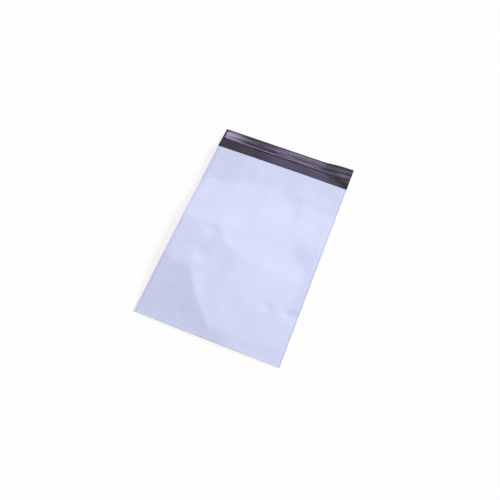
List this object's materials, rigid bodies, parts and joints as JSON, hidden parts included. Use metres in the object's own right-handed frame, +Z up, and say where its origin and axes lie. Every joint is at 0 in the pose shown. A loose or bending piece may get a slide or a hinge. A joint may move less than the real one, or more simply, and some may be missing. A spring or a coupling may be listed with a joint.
{
  "type": "poly mailer bag",
  "caption": "Flat plastic film mailing bag: white outside, dark inside, welded sides, open mouth and a peel-and-seal lip with a release liner over its adhesive.",
  "frame": {"origin": "under the middle of the flat bag, on the surface that it lies on", "axes": "+Z up out of the front panel, +Y from the bottom fold to the lip, +X to the right as seen from above"},
  "size_m": [0.2502, 0.3944, 0.0077],
  "materials": {
    "white_film": "satin lilac-white polyethylene film, dark grey on its inner face",
    "adhesive": "tacky hot-melt adhesive",
    "liner": "glossy translucent release film"
  },
  "bodies": {
    "root": {"bag_film": "white_film", "adhesive_strip": "adhesive", "release_liner": "liner"}
  },
  "joints": []
}
